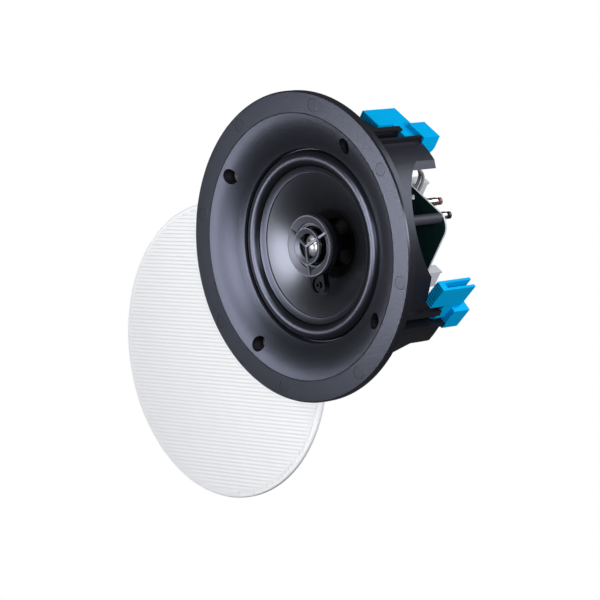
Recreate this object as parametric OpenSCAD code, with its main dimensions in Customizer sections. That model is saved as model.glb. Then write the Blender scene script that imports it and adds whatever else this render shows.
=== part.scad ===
// Two-way ceiling speaker with a coaxial tweeter, four swing-out clamps and a magnetic grille.
// Origin: centre of the flange's back face, which seats on the ceiling. +Z points up into the ceiling.
// The speaker faces down, along -Z. All sizes are in millimetres.

/* [Flange and dish] */
// Radius of the round flange
flange_r = 117.5; // [112:0.5:125]
// Thickness of the flange
flange_t = 6; // [5:0.5:8]
// Radius at which the flat flange turns into the dish
dish_r = 101.2; // [100:0.2:103]
// Radius of the opening that the woofer plays through
mouth_r = 73; // [72.8:0.1:74]
// Wall of the moulded frame
wall = 3; // [2:0.25:4]
// Height of the seat that the woofer is screwed to
seat_z = 11.5; // [10:0.5:14]

/* [Skirt and clamp towers] */
// Outer radius of the skirt that passes through the ceiling
skirt_r = 97; // [95:0.5:99]
// Height at which the clamp towers end
tower_top = 67; // [60:1:75]
// Radius of the clamp screws' circle
screw_circle_r = 92; // [90:0.5:94]
// Half of a tower's width
tower_half_w = 8; // [7.6:0.1:8.6]
// Radius of the hole that a screwdriver goes through
driver_hole_r = 6; // [5:0.25:6.5]
// Radius of the arch cut out of each side of the skirt
arch_r = 57; // [50:1:60]
// Height of the arch's centre
arch_z = 80; // [78:1:84]

/* [Clamps] */
// Length of a clamp from its screw to its tip
clamp_reach = 34; // [28:1:36]
// Length of the toothed foot
foot_len = 20; // [14:1:20]
// Thickness of the foot
foot_t = 9; // [8:0.25:9.5]
// Height of the paddle from its foot to its back
paddle_h = 34; // [24:1:36]
// Radius of the clamp screw's shank
screw_r = 2; // [1.5:0.1:2.5]

/* [Woofer] */
// Radius of the surround's outer bond
surround_out_r = 72.4; // [72:0.1:72.6]
// Radius of the surround's inner edge
surround_in_r = 60.3; // [59:0.1:61]
// Radius of the voice coil former
former_r = 19.5; // [18:0.25:20]
// Radius of the ferrite magnet
magnet_r = 45; // [40:1:46]
// Thickness of the ferrite magnet
magnet_t = 16; // [12:1:17]
// How far the cone travels each way
cone_travel = 4; // [2:0.5:4]

/* [Tweeter] */
// Radius of the tweeter's face
tweeter_r = 23.6; // [22:0.2:25]
// Radius of the tweeter's dome
dome_r = 12.5; // [10:0.25:13]
// Height of the tweeter's front edge
tweeter_z = 4.7; // [4:0.1:6]

/* [Crossover] */
// Side of the square crossover board
board_side = 99; // [90:1:100]
// Height of the crossover board
board_z = 87; // [80:1:92]
// Thickness of the crossover board
board_t = 1.6; // [1:0.2:2.4]

/* [Grille] */
// Radius of the grille
grille_r = 123; // [119:0.5:126]
// Thickness of the grille's steel sheet
grille_t = 0.8; // [0.6:0.1:1.2]
// Depth of the grille's rim
grille_rim = 7; // [5:0.5:9]

/* [Hidden] */
$fn = 96;

// Clearances, and bits of extra length that let a cut run past a face
running = 0.05;
clear = 0.3;
eps = 1;

// Clamps stand at these angles round the flange, and one of them has swung a little
clamp_angles = [45, 135, 225, 315];
clamp_swing = [0, 0, 0, 13];

// Dish
flange_lip = 1.2;
dish_front = -flange_t;
lip_round = 3;
dish_mouth = mouth_r + lip_round;
dish_depth = 11.796;
dish_slope = 0.3033;
function dish_share(r) = (dish_r - r) / (dish_r - dish_mouth);
function dish_z(r) = dish_front + dish_depth * (dish_slope * dish_share(r) + (1 - dish_slope) * pow(dish_share(r), 2));
dish_steps = [for (i = [0:8]) dish_r + (dish_mouth - dish_r) * i / 8];
seat_r = mouth_r + 13;
seat_wall = 2.6;

// Flange magnets and the groove behind them
magnet_ring_r = dish_r + 7.8;
disc_r = 5;
disc_t = 2.5;
groove_in_r = dish_r + 3.3;
groove_out_r = flange_r - 3;
groove_deep = 3;
disc_angles = [for (i = [0:7]) 22.5 + 45 * i];

// Towers, in a frame where +X points outwards and the origin is on the clamp's screw
tower_in = -10.3;
tower_out = 8.4;
tower_wall = 2.6;
slot_lip_y = -3.3;
lip_t = 2;
head_seat_z = 8;
head_plate_t = 3;
screw_hole_r = screw_r + 0.3;
rail_cut_z = tower_top - 11;

// Clamps
hub_r = tower_half_w - tower_wall - 0.3;
cap_half_w = 9.6;
cap_in = -8;
cap_out = 9;
cap_h = 16.7;
cap_z = tower_top + clear;
neck_z = rail_cut_z + clear;
foot_out = 5.6;
foot_z = neck_z - 15.3;
foot_h = 6;
paddle_wall = 2.2;
tooth_pitch = 2.5;
tooth_deep = 0.8;
head_r = 4.2;
head_t = 3;
screw_end = cap_z + cap_h + 3;

// Woofer
surround_t = 0.8;
surround_lip = 4;
crest_r = (surround_out_r + surround_in_r) / 2;
roll_h = 6.2;
bond = 0.1;
inner_edge_z = seat_z - 0.6;
glue_lip = 5.4;
cone_t = 0.7;
cone_steps = [for (i = [0:8]) surround_in_r + (former_r - surround_in_r) * i / 8];
function cone_z(r) = inner_edge_z + 0.33 * (surround_in_r - r) + 0.0065 * pow(surround_in_r - r, 2);
neck_end_z = cone_z(former_r);
gasket_t = surround_t;
basket_flange_z = seat_z + gasket_t;
basket_t = 2;
basket_floor_z = neck_end_z + cone_travel + 3;
basket_land_r = 49;
spider_z = basket_floor_z - 3.5;
spider_t = 0.5;
spider_out_r = basket_land_r - 1;
plate_t = 5;
top_plate_z = basket_floor_z + basket_t;
magnet_z = top_plate_z + plate_t;
back_plate_z = magnet_z + magnet_t;
former_t = 0.3;
winding_t = 0.5;
winding_h = plate_t + 1.5 * cone_travel;
former_end_z = top_plate_z + plate_t / 2 + winding_h / 2 + 1;
gap_in_r = former_r - former_t - 0.5;
gap_out_r = former_r + winding_t + 0.5;
leg_r = 4;
leg_circle_r = 60;
leg_turn = 265.2;
leg_start_z = basket_flange_z + 8;
basket_screw_r = mouth_r + 7.5;
basket_boss_r = 4.4;
boss_below_seat = 0.4;
basket_pilot = 6.6;
basket_screw_turn = 20;
terminal_turn = 213;
terminal_z = basket_floor_z - 2;
lead_r = 1.2;

// Tweeter, with its stack behind the dome
ring_r = 13.85;
ring_z = tweeter_z - 2.2;
ring_in_r = 9.6;
funnel_in_r = 17.5;
spoke_w = 1.8;
spoke_turn = 252;
dome_h = 5;
dome_z = tweeter_z + 8.1;
coil_len = 4;
suspension_w = 2.4;
hub_z = tweeter_z - 3.2;
funnel_z = tweeter_z + 2;
cup_t = 1.8;
cup_z = tweeter_z + 2.5;
drum_end_z = tweeter_z + 9.7;
drum_floor_t = 1.2;
cup_end_z = tweeter_z + 20;
tweeter_gap_z = dome_z + 1;
tweeter_floor_z = cup_end_z - cup_t - 2;
tweeter_plate_t = 3;
tweeter_yoke_r = dome_r + 3;
post_r = 6;
post_bore_r = 2;
lug_w = 15;
lug_reach = 37.6;
lug_z = tweeter_z + 2.6;
lug_t = 5;

// Crossover
board_corner_r = 12;
part_z = board_z + board_t;
board_holes = [[-25, -36], [30, 25]];
air_coil = [28, 12];
drum_coil = [-26, 14];
big_can = [0, 34];
small_can = [2, -14];
resistor_places = [[-33, -27], [36, -24]];
post_places = [[-19, -43.5], [-7, -50.5]];
post_out_r = 3.2;
post_h = 14;
plunger_r = 2;
plunger_travel = 2.5;
wire_hole_r = 1.5;

// Grille, taken off and lying behind the flange, apart from the speaker
grille_x = 61.7;
grille_y = 216.4;
grille_z = screw_end + 3;
grille_fold_r = 1.6;

// A ring with a rectangular section
module ring(r_in, r_out, z, h) {
    translate([0, 0, z])
        difference() {
            cylinder(r = r_out, h = h);
            translate([0, 0, -eps])
                cylinder(r = r_in, h = h + 2 * eps);
        }
}

// Copies of a child on a circle, at the given angles
module around(r, angles) {
    for (a = angles)
        rotate(a)
            translate([r, 0, 0])
                children();
}

// A child turned to each clamp's place, with the origin on the screw's axis
module at_clamp(k) {
    rotate(clamp_angles[k])
        translate([screw_circle_r, 0, 0])
            children();
}

// Solid of the flange, the dish and the seat, before its cut-outs
module dish_body() {
    rotate_extrude()
        polygon(concat(
            [[flange_r, 0], [flange_r, dish_front + flange_lip],
             [flange_r - flange_lip, dish_front]],
            [for (r = dish_steps) [r, dish_z(r)]],
            [[mouth_r + 1.2, dish_z(dish_mouth) + 0.9], [mouth_r + 0.5, dish_z(dish_mouth) + 2.2],
             [mouth_r, seat_z], [mouth_r + seat_wall, seat_z],
             [mouth_r + seat_wall, dish_z(mouth_r + seat_wall) + wall + 0.6],
             [seat_r - seat_wall, dish_z(seat_r - seat_wall) + wall],
             [seat_r - seat_wall, seat_z], [seat_r, seat_z], [seat_r, dish_z(seat_r) + wall],
             [dish_r - 3, dish_z(dish_r - 3) + wall], [dish_r - 1, 0]]));
}

// Space in front of the dish, reaching a little into its wall, that the towers and skirt end at
module dish_front_space() {
    into_wall = wall / 2;
    rotate_extrude()
        polygon(concat(
            [[0, dish_front - eps], [dish_r + wall, dish_front - eps], [dish_r + wall, dish_front + into_wall]],
            [for (r = dish_steps) [r, dish_z(r) + into_wall]],
            [[mouth_r + seat_wall, seat_z], [0, seat_z]]));
}

// Outside of one tower, from the dish to its top
module tower_block() {
    translate([tower_in, -tower_half_w, dish_front])
        cube([tower_out - tower_in, 2 * tower_half_w, tower_top - dish_front]);
}

// Everything that is cut out of one tower
module tower_cuts() {
    inner = tower_half_w - tower_wall;
    translate([0, 0, dish_front - eps])
        cylinder(r = driver_hole_r, h = head_seat_z - dish_front + eps);
    translate([0, 0, head_seat_z - eps])
        cylinder(r = screw_hole_r, h = head_plate_t + 2 * eps);
    translate([tower_in + tower_wall, -inner, head_seat_z + head_plate_t])
        cube([tower_out - lip_t - tower_in - tower_wall, 2 * inner, tower_top]);
    translate([0, slot_lip_y, head_seat_z + head_plate_t])
        cube([tower_out + eps, inner - slot_lip_y, tower_top]);
    translate([tower_in + 2 * tower_wall, -tower_half_w - eps, rail_cut_z])
        cube([tower_out - tower_in, tower_half_w + eps, tower_top]);
}

// Room for a parked paddle beside its tower, cut out of the skirt
module paddle_room() {
    room = 1.5;
    translate([foot_out - foot_t - 2 * room, -clamp_reach - 2 * room, foot_z - room])
        cube([2 * foot_t + 2 * room, clamp_reach + 2 * room - tower_half_w, tower_top]);
}

// Skirt that joins the towers, arched on four sides
module skirt() {
    difference() {
        ring(skirt_r - wall, skirt_r, dish_front, tower_top - dish_front);
        for (a = [0:90:270])
            rotate(a)
                translate([skirt_r - 4 * wall, 0, arch_z])
                    rotate([0, 90, 0])
                        cylinder(r = arch_r, h = 6 * wall);
        for (k = [0:3])
            at_clamp(k)
                paddle_room();
        for (k = [0:3])
            at_clamp(k)
                translate([tower_in + 1, -tower_half_w + 1, 0])
                    cube([2 * skirt_r, 2 * tower_half_w - 2, tower_top + eps]);
    }
}

// Moulded frame: flange, dish, skirt and towers in one piece
module frame() {
    color("#3a3b3e")
        difference() {
            union() {
                difference() {
                    dish_body();
                    ring(groove_in_r, groove_out_r, -groove_deep, groove_deep + eps);
                }
                around(magnet_ring_r, disc_angles)
                    translate([0, 0, -groove_deep - 0.5])
                        cylinder(r = disc_r + 1, h = groove_deep);
                difference() {
                    union() {
                        around(basket_screw_r, [for (i = [0:3]) basket_screw_turn + 90 * i])
                            translate([0, 0, dish_z(basket_screw_r) + 1])
                                cylinder(r = basket_boss_r, h = seat_z - boss_below_seat - dish_z(basket_screw_r) - 1);
                        skirt();
                        for (k = [0:3])
                            at_clamp(k)
                                tower_block();
                    }
                    dish_front_space();
                }
            }
            around(magnet_ring_r, disc_angles)
                translate([0, 0, dish_front - eps])
                    cylinder(r = disc_r, h = disc_t + eps);
            around(basket_screw_r, [for (i = [0:3]) basket_screw_turn + 90 * i])
                translate([0, 0, seat_z - basket_pilot])
                    cylinder(r = 1.2, h = basket_pilot + eps);
            for (k = [0:3])
                at_clamp(k)
                    tower_cuts();
            rotate_extrude()
                polygon([[dish_r, dish_front - eps], [dish_r + 0.5, dish_front - eps],
                         [dish_r + 0.25, dish_front + 0.4]]);
        }
}

// Eight disc magnets that hold the grille, flush with the flange
module flange_magnets() {
    color("#55565a")
        around(magnet_ring_r, disc_angles)
            translate([0, 0, dish_front])
                cylinder(r = disc_r - 0.1, h = disc_t);
}

// Notches that let the woofer's rim pass the towers
module tower_notches() {
    for (k = [0:3])
        at_clamp(k)
            translate([tower_in - clear, -tower_half_w - clear, seat_z - eps])
                cube([wall * 4, 2 * tower_half_w + 2 * clear, tower_top]);
}

// Foam ring between the frame's seat and the woofer
module woofer_gasket() {
    color("#202124")
        difference() {
            ring(surround_out_r + surround_lip + 0.2, seat_r, seat_z, gasket_t);
            tower_notches();
            around(basket_screw_r, [for (i = [0:3]) basket_screw_turn + 90 * i])
                translate([0, 0, seat_z - eps])
                    cylinder(r = 1.8, h = gasket_t + 2 * eps);
        }
}

// Moulded basket: rim, four arms, spider land and the legs that carry the crossover
module woofer_basket() {
    rim_in = surround_out_r - 0.6;
    color("#2c2d30")
        difference() {
            union() {
                ring(rim_in, seat_r, basket_flange_z, basket_t);
                rotate_extrude()
                    polygon([[rim_in, basket_flange_z], [rim_in + 3, basket_flange_z],
                             [rim_in + 3, basket_flange_z + 5],
                             [basket_land_r + basket_t, spider_z + spider_t + 1],
                             [basket_land_r + basket_t, basket_floor_z + basket_t],
                             [gap_out_r + 2, basket_floor_z + basket_t],
                             [gap_out_r + 2, basket_floor_z],
                             [spider_out_r - 4, basket_floor_z],
                             [spider_out_r - 4, spider_z + spider_t],
                             [basket_land_r, spider_z + spider_t], [basket_land_r, spider_z - 1],
                             [rim_in, basket_flange_z + 4]]);
                around(leg_circle_r, [for (i = [0:3]) leg_turn + 90 * i])
                    translate([0, 0, leg_start_z])
                        cylinder(r = leg_r, h = board_z - leg_start_z);
            }
            tower_notches();
            for (a = [45:90:315])
                rotate(a)
                    translate([basket_land_r + 1, -17, basket_flange_z + basket_t + 1.5])
                        cube([40, 34, spider_z - basket_flange_z - basket_t - 5]);
            around(basket_screw_r, [for (i = [0:3]) basket_screw_turn + 90 * i])
                translate([0, 0, basket_flange_z - eps])
                    cylinder(r = 1.8, h = basket_t + 2 * eps);
            around(leg_circle_r, [for (i = [0:3]) leg_turn + 90 * i])
                translate([0, 0, board_z - 9])
                    cylinder(r = 1.2, h = 9 + eps);
        }
}

// Tag strip on the basket that the woofer's leads start from
module woofer_terminal() {
    color("#5b4a32")
        difference() {
            rotate(terminal_turn)
                union() {
                    translate([basket_land_r, -8, terminal_z])
                        cube([basket_t + 9, 16, 2]);
                    for (y = [-4.5, 2.5])
                        translate([basket_land_r + basket_t + 2.5, y, terminal_z])
                            cube([4, 2, 3.2]);
                }
            cylinder(r = basket_land_r + basket_t, h = board_z);
        }
}

// A cross-head screw, head up, with its seat at z = 0
module small_screw(shank_r, shank_len, cap_r, cap_t) {
    difference() {
        union() {
            cylinder(r = cap_r, h = cap_t);
            translate([0, 0, -shank_len])
                cylinder(r = shank_r, h = shank_len + eps);
        }
        for (a = [0, 90])
            rotate(a)
                translate([-cap_r * 0.6, -0.4, cap_t / 2])
                    cube([cap_r * 1.2, 0.8, cap_t]);
    }
}

// Four screws that hold the basket to the frame
module basket_screws() {
    color("#8d8f94")
        around(basket_screw_r, [for (i = [0:3]) basket_screw_turn + 90 * i])
            translate([0, 0, basket_flange_z + basket_t])
                small_screw(1.2, 8, 2.8, 1.8);
}

// Half-roll rubber surround with its two bonding lips
module surround() {
    r_roll = (surround_out_r - surround_in_r) / 2;
    arc = [for (i = [0:12]) 180 * i / 12];
    color("#242529")
        rotate_extrude()
            polygon(concat(
                [[surround_out_r + surround_lip, seat_z], [surround_out_r + surround_lip, seat_z + surround_t],
                 [surround_out_r, seat_z + surround_t]],
                [for (a = arc) [crest_r + (r_roll - surround_t) * cos(a),
                                seat_z - (roll_h - surround_t) * sin(a)]],
                [[surround_in_r, cone_z(surround_in_r) - bond],
                 [surround_in_r - glue_lip, cone_z(surround_in_r - glue_lip) - bond],
                 [surround_in_r - glue_lip, cone_z(surround_in_r - glue_lip) - bond - surround_t],
                 [surround_in_r, cone_z(surround_in_r) - bond - surround_t]],
                [for (i = [11:-1:1]) [crest_r + r_roll * cos(180 * i / 12),
                                      seat_z - roll_h * sin(180 * i / 12)]],
                [[surround_out_r, seat_z]]));
}

// Pulp cone, curved from the surround down to its neck
module cone() {
    color("#33343a")
        rotate_extrude()
            polygon(concat(
                [for (r = cone_steps) [r, cone_z(r)]],
                [for (i = [8:-1:0]) [cone_steps[i] + (i == 8 ? 0 : cone_t * 0.4), cone_z(cone_steps[i]) + cone_t]]));
}

// Aluminium tube that the winding is on
module voice_coil_former() {
    color("#b9bcc2")
        ring(former_r - former_t, former_r, neck_end_z - 1, former_end_z - neck_end_z + 1);
}

// Copper winding at the end of the former
module voice_coil_winding() {
    color("#b0683a")
        ring(former_r, former_r + winding_t, former_end_z - winding_h - 1, winding_h);
}

// Corrugated cloth disc that centres the coil
module spider() {
    waves = 5;
    spider_in_r = former_r + bond;
    span = spider_out_r - spider_in_r;
    flat = 3;
    function wave(r) = 1.2 * sin(360 * waves * (r - spider_in_r - flat) / (span - 2 * flat));
    inside = [for (i = [0:40]) spider_in_r + flat + (span - 2 * flat) * i / 40];
    color("#b58a4a")
        rotate_extrude()
            polygon(concat(
                [[spider_in_r, spider_z]],
                [for (r = inside) [r, spider_z + wave(r)]],
                [[spider_out_r, spider_z], [spider_out_r, spider_z + spider_t]],
                [for (i = [40:-1:0]) [inside[i], spider_z + spider_t + wave(inside[i])]],
                [[spider_in_r, spider_z + spider_t]]));
}

// Steel ring in front of the magnet
module top_plate() {
    color("#9a9ca1")
        ring(gap_out_r, magnet_r - 2, top_plate_z, plate_t);
}

// Ferrite ring magnet
module magnet() {
    color("#3b3b3d")
        ring(gap_out_r + 6, magnet_r, magnet_z, magnet_t);
}

// Steel back plate and pole in one turned piece, bored for the tweeter's post
module yoke() {
    color("#9a9ca1")
        difference() {
            union() {
                translate([0, 0, back_plate_z])
                    cylinder(r = magnet_r - 2, h = plate_t);
                translate([0, 0, top_plate_z])
                    cylinder(r = gap_in_r, h = back_plate_z - top_plate_z + eps);
            }
            translate([0, 0, top_plate_z - eps])
                cylinder(r = post_bore_r, h = 2 * magnet_t + 3 * plate_t);
        }
}

// Hollow post that carries the tweeter on the pole
module tweeter_post() {
    color("#1f2023")
        difference() {
            translate([0, 0, cup_end_z])
                cylinder(r = post_r, h = top_plate_z - cup_end_z);
            translate([0, 0, cup_end_z - eps])
                cylinder(r = post_bore_r, h = top_plate_z - cup_end_z + 2 * eps);
        }
}

// Tweeter's housing: a wide drum behind the face, and a narrower one round the motor
module tweeter_cup() {
    motor_r = tweeter_yoke_r + cup_t;
    color("#26272b")
        difference() {
            rotate_extrude()
                polygon([[tweeter_r - 1.2, cup_z], [tweeter_r, cup_z + 1.2], [tweeter_r, drum_end_z - 2],
                         [tweeter_r - 2, drum_end_z], [motor_r, drum_end_z], [motor_r, cup_end_z - 1.5],
                         [motor_r - 1.5, cup_end_z], [0, cup_end_z], [0, cup_end_z - cup_t],
                         [tweeter_yoke_r, cup_end_z - cup_t], [tweeter_yoke_r, drum_end_z - drum_floor_t],
                         [tweeter_r - cup_t, drum_end_z - drum_floor_t], [tweeter_r - cup_t, cup_z]]);
            translate([0, 0, cup_end_z - cup_t - eps])
                cylinder(r = post_bore_r, h = cup_t + 2 * eps);
        }
}

// Steel cup round the tweeter's magnet
module tweeter_yoke() {
    color("#a4a6aa")
        difference() {
            translate([0, 0, tweeter_gap_z])
                cylinder(r = tweeter_yoke_r, h = cup_end_z - cup_t - tweeter_gap_z);
            translate([0, 0, tweeter_gap_z - eps])
                cylinder(r = dome_r + 0.8, h = tweeter_floor_z - tweeter_gap_z + eps);
        }
}

// Neodymium disc
module tweeter_magnet() {
    color("#c8cacd")
        translate([0, 0, tweeter_gap_z + tweeter_plate_t])
            cylinder(r = dome_r - 1.5, h = tweeter_floor_z - tweeter_gap_z - tweeter_plate_t);
}

// Steel disc on the neodymium, inside the tweeter's coil
module tweeter_top_plate() {
    color("#a4a6aa")
        translate([0, 0, tweeter_gap_z])
            cylinder(r = dome_r - 0.8, h = tweeter_plate_t);
}

// Metal dome with its coil
module tweeter_dome() {
    ball_r = (dome_r * dome_r + dome_h * dome_h) / (2 * dome_h);
    span = asin(dome_r / ball_r);
    outer = [for (i = [0:10]) span * i / 10];
    color("#d3d5d9")
        rotate_extrude()
            polygon(concat(
                [for (a = outer) [ball_r * sin(a), dome_z - dome_h + ball_r * (1 - cos(a))]],
                [[dome_r, dome_z + coil_len], [dome_r - 0.3, dome_z + coil_len]],
                [for (i = [10:-1:0]) [(ball_r - 0.3) * sin(outer[i]),
                                      dome_z - dome_h + ball_r - (ball_r - 0.3) * cos(outer[i])]]));
}

// Small half roll that carries the dome
module tweeter_suspension() {
    roll_r = suspension_w / 2;
    mid = dome_r + clear / 3 + roll_r;
    color("#2b2c30")
        rotate_extrude()
            polygon(concat(
                [for (i = [0:8]) [mid - roll_r * cos(180 * i / 8), dome_z - roll_r * sin(180 * i / 8)]],
                [[tweeter_r - cup_t - 0.2, dome_z], [tweeter_r - cup_t - 0.2, dome_z + 0.3]],
                [for (i = [8:-1:0]) [mid - (roll_r - 0.3) * cos(180 * i / 8),
                                     dome_z + 0.3 - (roll_r - 0.3) * sin(180 * i / 8)]]));
}

// One blade of the phase guard, from the hub out to the funnel
module guard_blade() {
    translate([0, spoke_w / 2, 0])
        rotate([90, 0, 0])
            linear_extrude(height = spoke_w)
                polygon([[0, hub_z], [tweeter_r - 1.5, tweeter_z - 0.3], [tweeter_r - 2.4, tweeter_z + 1],
                         [funnel_in_r - 0.5, funnel_z + 0.4], [ring_r, ring_z + 1.4], [ring_in_r, ring_z + 2.4],
                         [0, hub_z + 2.6]]);
}

// Tweeter's face: stepped funnel, phase ring and three blades moulded in one
module tweeter_face() {
    rear_r = tweeter_r - cup_t - 0.2;
    color("#303136")
        union() {
            rotate_extrude()
                polygon([[tweeter_r, cup_z], [tweeter_r, tweeter_z + 0.8], [tweeter_r - 0.5, tweeter_z],
                         [tweeter_r - 1.2, tweeter_z], [funnel_in_r, funnel_z],
                         [funnel_in_r - 0.3, funnel_z + 1.3], [funnel_in_r - 1.2, funnel_z + 1.4],
                         [funnel_in_r - 1.4, funnel_z + 2.6], [funnel_in_r - 2.2, funnel_z + 2.7],
                         [funnel_in_r - 2.4, dome_z - 0.6], [dome_r + suspension_w + 0.6, dome_z - 0.6],
                         [dome_r + suspension_w + 0.6, dome_z], [rear_r, dome_z], [rear_r, cup_z]]);
            rotate_extrude()
                polygon([[ring_r, ring_z], [ring_r, ring_z + 2], [ring_r - 0.6, ring_z + 3.1],
                         [ring_in_r + 0.3, ring_z + 3.1], [ring_in_r, ring_z + 1.9], [ring_r - 0.7, ring_z]]);
            for (k = [0:2])
                rotate(spoke_turn + 120 * k)
                    guard_blade();
        }
}

// Lug on the housing that takes the tweeter's two leads
module tweeter_lug() {
    end_r = lug_w / 2;
    color("#1c1d20")
        difference() {
            union() {
                translate([0, -end_r, lug_z])
                    cube([lug_reach - end_r, lug_w, lug_t]);
                translate([lug_reach - end_r, 0, lug_z])
                    cylinder(r = end_r, h = lug_t);
            }
            translate([0, 0, lug_z - eps])
                cylinder(r = tweeter_r, h = lug_t + 2 * eps);
            translate([lug_reach - end_r, 0, lug_z - eps])
                difference() {
                    cylinder(r = end_r - 1.6, h = eps + 1.4);
                    cylinder(r = 2.6, h = eps + 1.4);
                }
            translate([lug_reach - end_r, 0, lug_z - eps])
                cylinder(r = 1.3, h = eps + 2.2);
        }
}

// Outline of the crossover board
module board_outline() {
    half = board_side / 2;
    flat = half - board_corner_r;
    rotate(45)
        union() {
            square([board_side, 2 * flat], center = true);
            square([2 * flat, board_side], center = true);
            for (x = [-flat, flat])
                for (y = [-flat, flat])
                    translate([x, y])
                        circle(r = board_corner_r);
        }
}

// Square glass-fibre board with its corners over the legs
module crossover_board() {
    color("#1f3a3a")
        difference() {
            translate([0, 0, board_z])
                linear_extrude(height = board_t)
                    board_outline();
            around(leg_circle_r, [for (i = [0:3]) leg_turn + 90 * i])
                translate([0, 0, board_z - eps])
                    cylinder(r = 1.8, h = board_t + 2 * eps);
            for (p = board_holes)
                translate([p[0], p[1], board_z - eps])
                    cylinder(r = 2, h = board_t + 2 * eps);
        }
}

// Four screws that hold the board to the legs
module board_screws() {
    color("#8d8f94")
        around(leg_circle_r, [for (i = [0:3]) leg_turn + 90 * i])
            translate([0, 0, part_z])
                small_screw(1.2, 9, 2.8, 1.8);
}

// Spool of the air-cored coil
module inductor_bobbin() {
    color("#e4e4e0")
        translate([air_coil[0], air_coil[1], part_z])
            difference() {
                union() {
                    cylinder(r = 13, h = 1.2);
                    cylinder(r = 6, h = 15);
                    translate([0, 0, 13.8])
                        cylinder(r = 13, h = 1.2);
                }
                translate([0, 0, -eps])
                    cylinder(r = 4.5, h = 15 + 2 * eps);
            }
}

// Enamelled wire on the spool
module inductor_winding() {
    color("#b0683a")
        translate([air_coil[0], air_coil[1], 0])
            ring(6, 12, part_z + 1.2, 12.6);
}

// Coil on a ferrite drum
module core_inductor() {
    color("#8a4f2c")
        translate([drum_coil[0], drum_coil[1], part_z])
            union() {
                cylinder(r = 9, h = 2);
                cylinder(r = 8, h = 14);
                translate([0, 0, 12])
                    cylinder(r = 9, h = 2);
            }
}

// Capacitor can lying on the board, with its axis along X
module lying_can(place, r, len) {
    translate([place[0] - len / 2, place[1], part_z + r])
        rotate([0, 90, 0])
            rotate_extrude()
                polygon([[0, 0], [r - 1, 0], [r, 1], [r, 3], [r - 0.6, 3.6], [r - 0.6, 4.2], [r, 4.8],
                         [r, len - 1], [r - 1, len], [0, len]]);
}

// Large electrolytic capacitor for the woofer's filter
module large_capacitor() {
    color("#d8dadd")
        lying_can(big_can, 8, 34);
}

// Film capacitor for the tweeter's filter
module small_capacitor() {
    color("#cfd1d4")
        lying_can(small_can, 5.5, 24);
}

// Two cement resistors standing on the board
module resistors() {
    color("#e9e9e6")
        for (p = resistor_places)
            translate([p[0], p[1], part_z])
                rotate(45)
                    translate([-7, -4.5, 0])
                        difference() {
                            cube([14, 9, 20]);
                            translate([1.5, -eps, 18.5])
                                cube([11, 9 + 2 * eps, 1.5 + eps]);
                        }
}

// Nickel-plated posts that take the ceiling's cable
module terminal_posts() {
    color("#d0d2d6")
        for (p = post_places)
            translate([p[0], p[1], part_z])
                difference() {
                    union() {
                        cylinder(r = post_out_r + 1.2, h = 2);
                        cylinder(r = post_out_r, h = post_h);
                    }
                    translate([0, 0, 2])
                        cylinder(r = plunger_r + running, h = post_h);
                    translate([0, 0, 6.5])
                        rotate([0, 90, 45])
                            translate([0, 0, -post_out_r - eps])
                                cylinder(r = wire_hole_r, h = 2 * post_out_r + 2 * eps);
                }
}

// Sprung plunger in a post, pushed down to open the wire hole
module plunger(place) {
    translate([place[0], place[1], part_z + 10])
        union() {
            cylinder(r = plunger_r, h = post_h - 10 + plunger_travel + clear);
            translate([0, 0, post_h - 10 + plunger_travel + clear])
                cylinder(r = post_out_r - 0.3, h = 2.4);
        }
}
module red_plunger() {
    color("#a02a28")
        plunger(post_places[0]);
}
module black_plunger() {
    color("#2a2a2c")
        plunger(post_places[1]);
}

// A round wire through the given points
function unit(v) = v / norm(v);
function heading(p, i) = unit(p[min(i + 1, len(p) - 1)] - p[max(i - 1, 0)]);
function side(d) = unit(cross(d, abs(d[2]) > 0.9 ? [1, 0, 0] : [0, 0, 1]));
module wire(path, r) {
    n = len(path);
    sides = 8;
    points = [for (i = [0:n - 1])
        let (d = heading(path, i), u = side(d), w = cross(d, u))
            for (j = [0:sides - 1])
                path[i] + r * (cos(360 * j / sides) * u + sin(360 * j / sides) * w)];
    walls = [for (i = [0:n - 2]) for (j = [0:sides - 1])
        [i * sides + j, (i + 1) * sides + j, (i + 1) * sides + (j + 1) % sides, i * sides + (j + 1) % sides]];
    first = [for (j = [0:sides - 1]) j];
    last = [for (j = [sides - 1:-1:0]) (n - 1) * sides + j];
    polyhedron(points = points, faces = concat(walls, [first, last]), convexity = 4);
}

// A path bent like an arch from one point over a rise to another
function arch_path(a, b, top, n = 12) = [for (i = [0:n])
    let (t = i / n) (1 - t) * (1 - t) * a + 2 * t * (1 - t) * top + t * t * b];

// Two leads from the basket, round the board's edge and down to its tracks
module woofer_leads() {
    color("#6d6e72")
        for (s = [0, 1])
            wire(arch_path([-48 + 3 * s, -29 - 4 * s, terminal_z + 3.4], [-31 + 3 * s, -36.5 - 2.5 * s, part_z + 1.3],
                           [-57 + 3 * s, -54 - 3 * s, part_z + 15]), lead_r);
}

// Two leads from the pole's bore to the board
module tweeter_leads() {
    color("#4a4b50")
        for (s = [-1, 1])
            wire(arch_path([0, 1.0 * s, back_plate_z + plate_t - 2], [2, 8 * s, board_z - 0.9],
                           [0, 1.0 * s, board_z - 5]), 0.7);
}

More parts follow.
